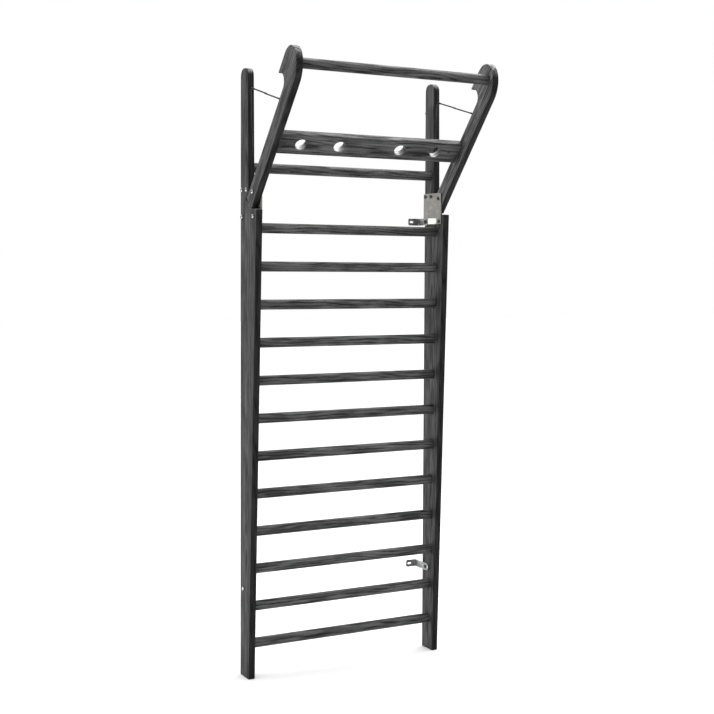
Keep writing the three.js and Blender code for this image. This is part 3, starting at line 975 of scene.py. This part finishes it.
def build_label():
    """A blank white label low on the right hinge plate."""
    low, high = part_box("right_hinge_plate")
    centre = Vector((low.x, (low.y + high.y) / 2 - 2 * MM, low.z + 13.5 * MM))
    half_y, half_z, round_off = 35 * MM, 11.5 * MM, 1.5 * MM
    gap, thickness = 0.02 * MM, 0.2 * MM
    bm = new_mesh()
    outline = []
    for corner_y, corner_z, first in ((1, 1, 0), (-1, 1, 90), (-1, -1, 180), (1, -1, 270)):
        for i in range(5):
            angle = math.radians(first + 90 * i / 4)
            outline.append(
                (
                    corner_y * (half_y - round_off) + round_off * math.cos(angle),
                    corner_z * (half_z - round_off) + round_off * math.sin(angle),
                )
            )
    near = [bm.verts.new(centre + Vector((-gap, y, z))) for y, z in outline]
    far = [bm.verts.new(centre + Vector((-gap - thickness, y, z))) for y, z in outline]
    bridge(bm, near, far)
    bm.faces.new(list(reversed(near)))
    bm.faces.new(far)
    bmesh.ops.recalc_face_normals(bm, faces=bm.faces)
    finish_piece("blank_label", bm, [LABEL_PAPER], "wall_frame", None, Y_AXIS, 99)


# ---- Studio ---------------------------------------------------------------------------


def build_stage():
    bm = bmesh.new()
    half = 30.0
    corners = ((-half, -half), (half, -half), (half, half), (-half, half))
    bm.faces.new([bm.verts.new((x, y, 0.0)) for x, y in corners])
    mesh = bpy.data.meshes.new("studio_floor")
    bm.to_mesh(mesh)
    bm.free()
    mesh.materials.append(floor_material())
    floor = bpy.data.objects.new("studio_floor", mesh)
    bpy.context.scene.collection.objects.link(floor)


def area_light(name, place, target, size, power):
    data = bpy.data.lights.new(name, "AREA")
    data.shape = "RECTANGLE"
    data.size, data.size_y = size
    data.energy = power
    light = bpy.data.objects.new(name, data)
    light.location = place
    heading = Vector(target) - Vector(place)
    light.rotation_mode = "QUATERNION"
    light.rotation_quaternion = heading.to_track_quat("-Z", "Y")
    light.visible_camera = False
    bpy.context.scene.collection.objects.link(light)


def build_world():
    """Light from behind and above and less from the front, in front of a plain white backdrop."""
    world = bpy.data.worlds.new("studio_world")
    bpy.context.scene.world = world
    world.use_nodes = True
    tree = world.node_tree
    background = tree.nodes["Background"]
    background.inputs["Color"].default_value = grey(1.0)
    coordinates = tree.nodes.new("ShaderNodeTexCoord")
    parts = tree.nodes.new("ShaderNodeSeparateXYZ")
    tree.links.new(coordinates.outputs["Generated"], parts.inputs[0])
    total = None
    for axis, low, high, strength in (("Y", 0.1, 0.6, WORLD_BACK), ("Z", 0.0, 1.0, WORLD_TOP)):
        part = tree.nodes.new("ShaderNodeMapRange")
        part.inputs["From Min"].default_value = low
        part.inputs["From Max"].default_value = high
        part.inputs["To Max"].default_value = strength
        tree.links.new(parts.outputs[axis], part.inputs["Value"])
        sum_node = tree.nodes.new("ShaderNodeMath")
        sum_node.inputs[0].default_value = WORLD_FRONT
        if total:
            tree.links.new(total, sum_node.inputs[0])
        tree.links.new(part.outputs["Result"], sum_node.inputs[1])
        total = sum_node.outputs[0]
    seen = tree.nodes.new("ShaderNodeLightPath")
    plain = tree.nodes.new("ShaderNodeMix")
    plain.inputs["B"].default_value = 1.0
    tree.links.new(seen.outputs["Is Camera Ray"], plain.inputs["Factor"])
    tree.links.new(total, plain.inputs["A"])
    tree.links.new(plain.outputs["Result"], background.inputs["Strength"])


def build_lights():
    build_world()
    area_light("top", **TOP_LIGHT)
    area_light("left", **LEFT_LIGHT)


def build_camera():
    yaw, pitch, roll = CAMERA_YAW, CAMERA_PITCH, CAMERA_ROLL
    forward = Vector(
        (math.sin(yaw) * math.cos(pitch), math.cos(yaw) * math.cos(pitch), -math.sin(pitch))
    )
    level = Vector((math.cos(yaw), -math.sin(yaw), 0))
    down = forward.cross(level)
    right = level * math.cos(roll) + down * math.sin(roll)
    below = down * math.cos(roll) - level * math.sin(roll)
    turn = Matrix((right, -below, -forward)).transposed()
    data = bpy.data.cameras.new("camera")
    data.lens = CAMERA_LENS
    data.sensor_width = 36.0
    data.sensor_fit = "HORIZONTAL"
    data.shift_x, data.shift_y = CAMERA_SHIFT
    data.clip_start, data.clip_end = 0.05, 200.0
    camera = bpy.data.objects.new("camera", data)
    camera.matrix_world = Matrix.Translation(CAMERA_PLACE) @ turn.to_4x4()
    bpy.context.scene.collection.objects.link(camera)
    bpy.context.scene.camera = camera


build_rods()
build_boards()
build_plates()
build_brackets()
build_plate_bolts()
build_board_fittings()
build_barrels()
build_softened_fittings()
build_stays()
build_eyes()
build_label()
build_stage()
build_lights()
build_camera()
bpy.context.scene.view_settings.view_transform = "Standard"

bpy.context.view_layer.update()
